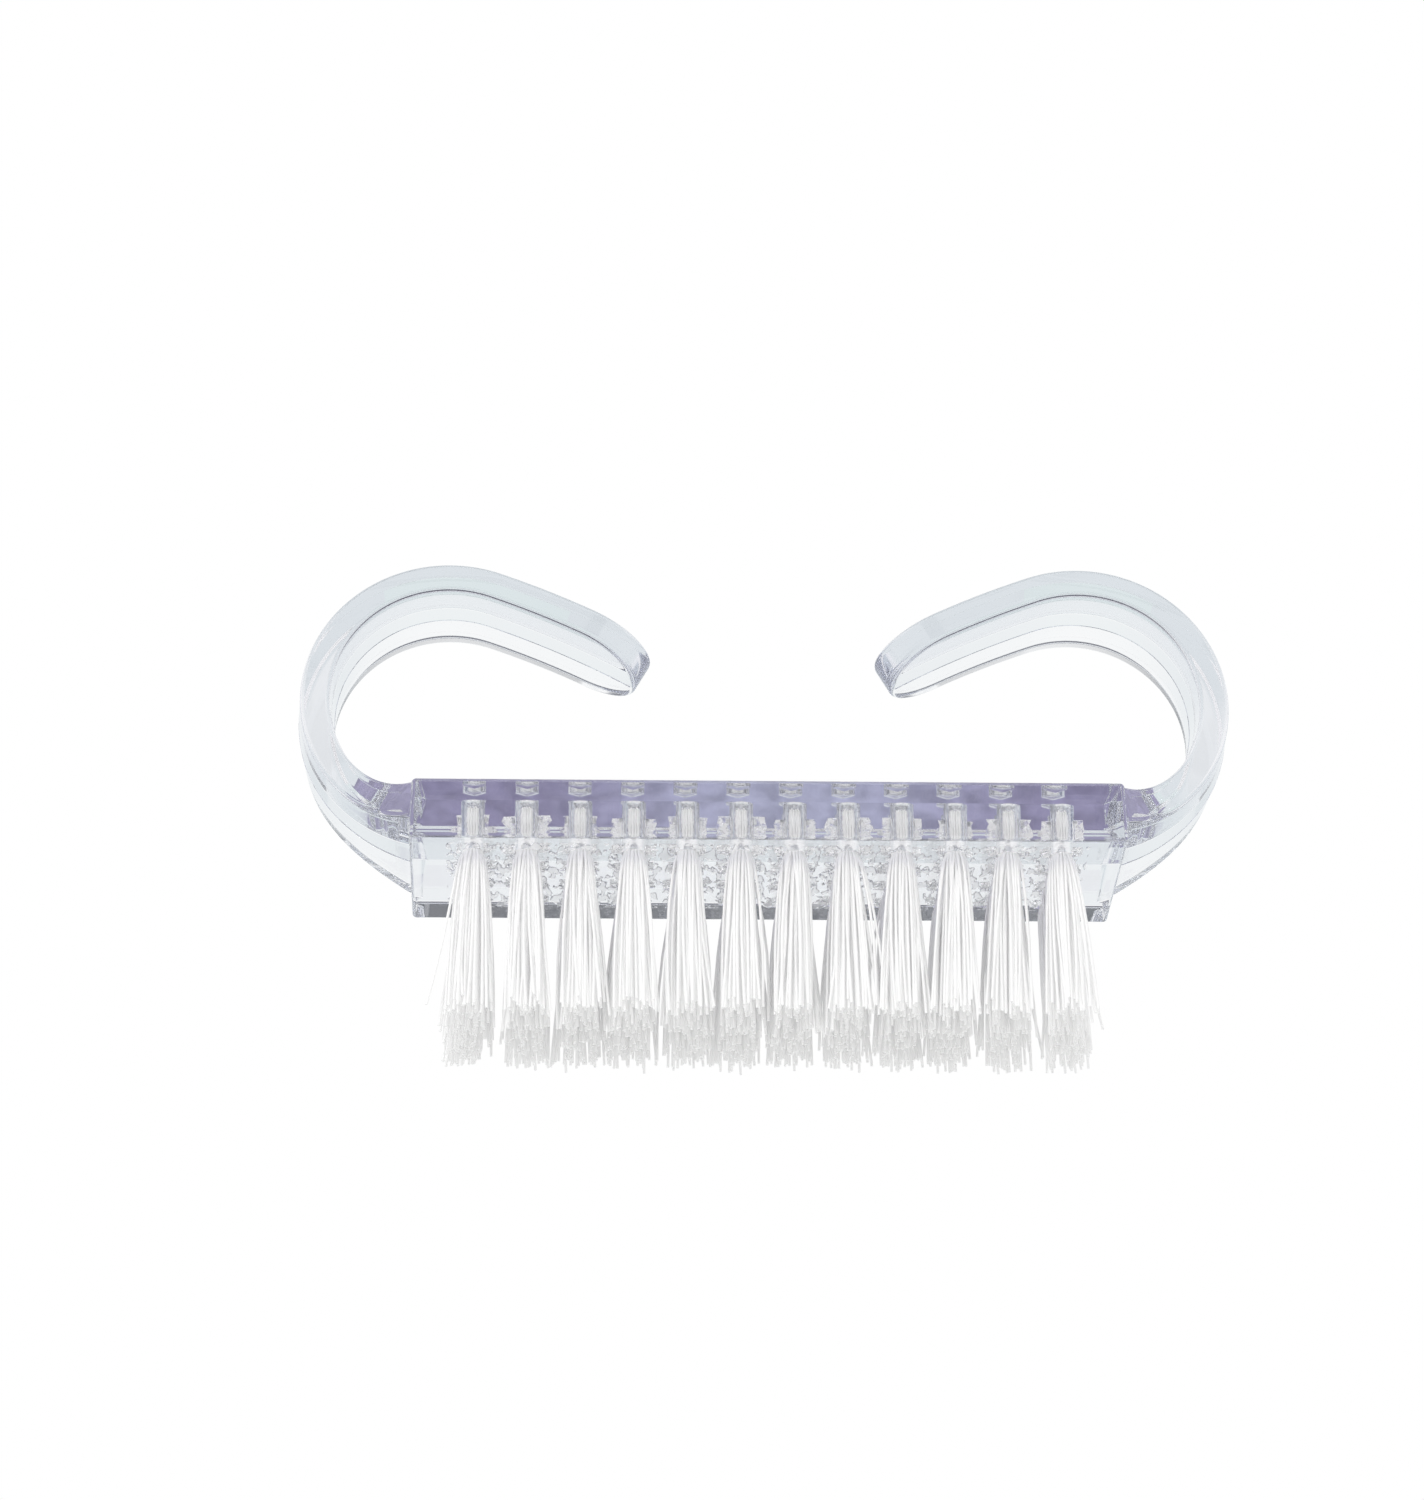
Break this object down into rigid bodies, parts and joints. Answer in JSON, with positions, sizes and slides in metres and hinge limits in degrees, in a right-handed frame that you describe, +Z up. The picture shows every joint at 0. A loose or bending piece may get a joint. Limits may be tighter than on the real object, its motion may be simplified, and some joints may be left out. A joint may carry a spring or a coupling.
{
  "type": "nail dust brush",
  "caption": "Small clear nail dust brush: a rectangular block set with short white bristle tufts below, and wide hooks that curl in over its back for the fingers.",
  "frame": {"origin": "middle of the plane that the bristle tips are trimmed to, under the centre of the block", "axes": "+X along the block, +Y through its depth from the pictured front to the back, +Z up from the bristle tips to the finger hooks"},
  "size_m": [0.0652, 0.015, 0.0343],
  "materials": {
    "clear_body": "gloss",
    "nylon_bristle": "satin",
    "anchor_wire": "satin"
  },
  "bodies": {
    "root": {"brush_body": "clear_body", "tuft_r1_c01": "nylon_bristle", "tuft_r1_c02": "nylon_bristle", "tuft_r1_c03": "nylon_bristle", "tuft_r1_c04": "nylon_bristle", "tuft_r1_c05": "nylon_bristle", "tuft_r1_c06": "nylon_bristle", "tuft_r1_c07": "nylon_bristle", "tuft_r1_c08": "nylon_bristle", "tuft_r1_c09": "nylon_bristle", "tuft_r1_c10": "nylon_bristle", "tuft_r1_c11": "nylon_bristle", "tuft_r1_c12": "nylon_bristle", "tuft_r2_c01": "nylon_bristle", "tuft_r2_c02": "nylon_bristle", "tuft_r2_c03": "nylon_bristle", "tuft_r2_c04": "nylon_bristle", "tuft_r2_c05": "nylon_bristle", "tuft_r2_c06": "nylon_bristle", "tuft_r2_c07": "nylon_bristle", "tuft_r2_c08": "nylon_bristle", "tuft_r2_c09": "nylon_bristle", "tuft_r2_c10": "nylon_bristle", "tuft_r2_c11": "nylon_bristle", "tuft_r2_c12": "nylon_bristle", "tuft_r3_c01": "nylon_bristle", "tuft_r3_c02": "nylon_bristle", "tuft_r3_c03": "nylon_bristle", "tuft_r3_c04": "nylon_bristle", "tuft_r3_c05": "nylon_bristle", "tuft_r3_c06": "nylon_bristle", "tuft_r3_c07": "nylon_bristle", "tuft_r3_c08": "nylon_bristle", "tuft_r3_c09": "nylon_bristle", "tuft_r3_c10": "nylon_bristle", "tuft_r3_c11": "nylon_bristle", "tuft_r3_c12": "nylon_bristle", "tuft_r4_c01": "nylon_bristle", "tuft_r4_c02": "nylon_bristle", "tuft_r4_c03": "nylon_bristle", "tuft_r4_c04": "nylon_bristle", "tuft_r4_c05": "nylon_bristle", "tuft_r4_c06": "nylon_bristle", "tuft_r4_c07": "nylon_bristle", "tuft_r4_c08": "nylon_bristle", "tuft_r4_c09": "nylon_bristle", "tuft_r4_c10": "nylon_bristle", "tuft_r4_c11": "nylon_bristle", "tuft_r4_c12": "nylon_bristle"}
  },
  "joints": []
}
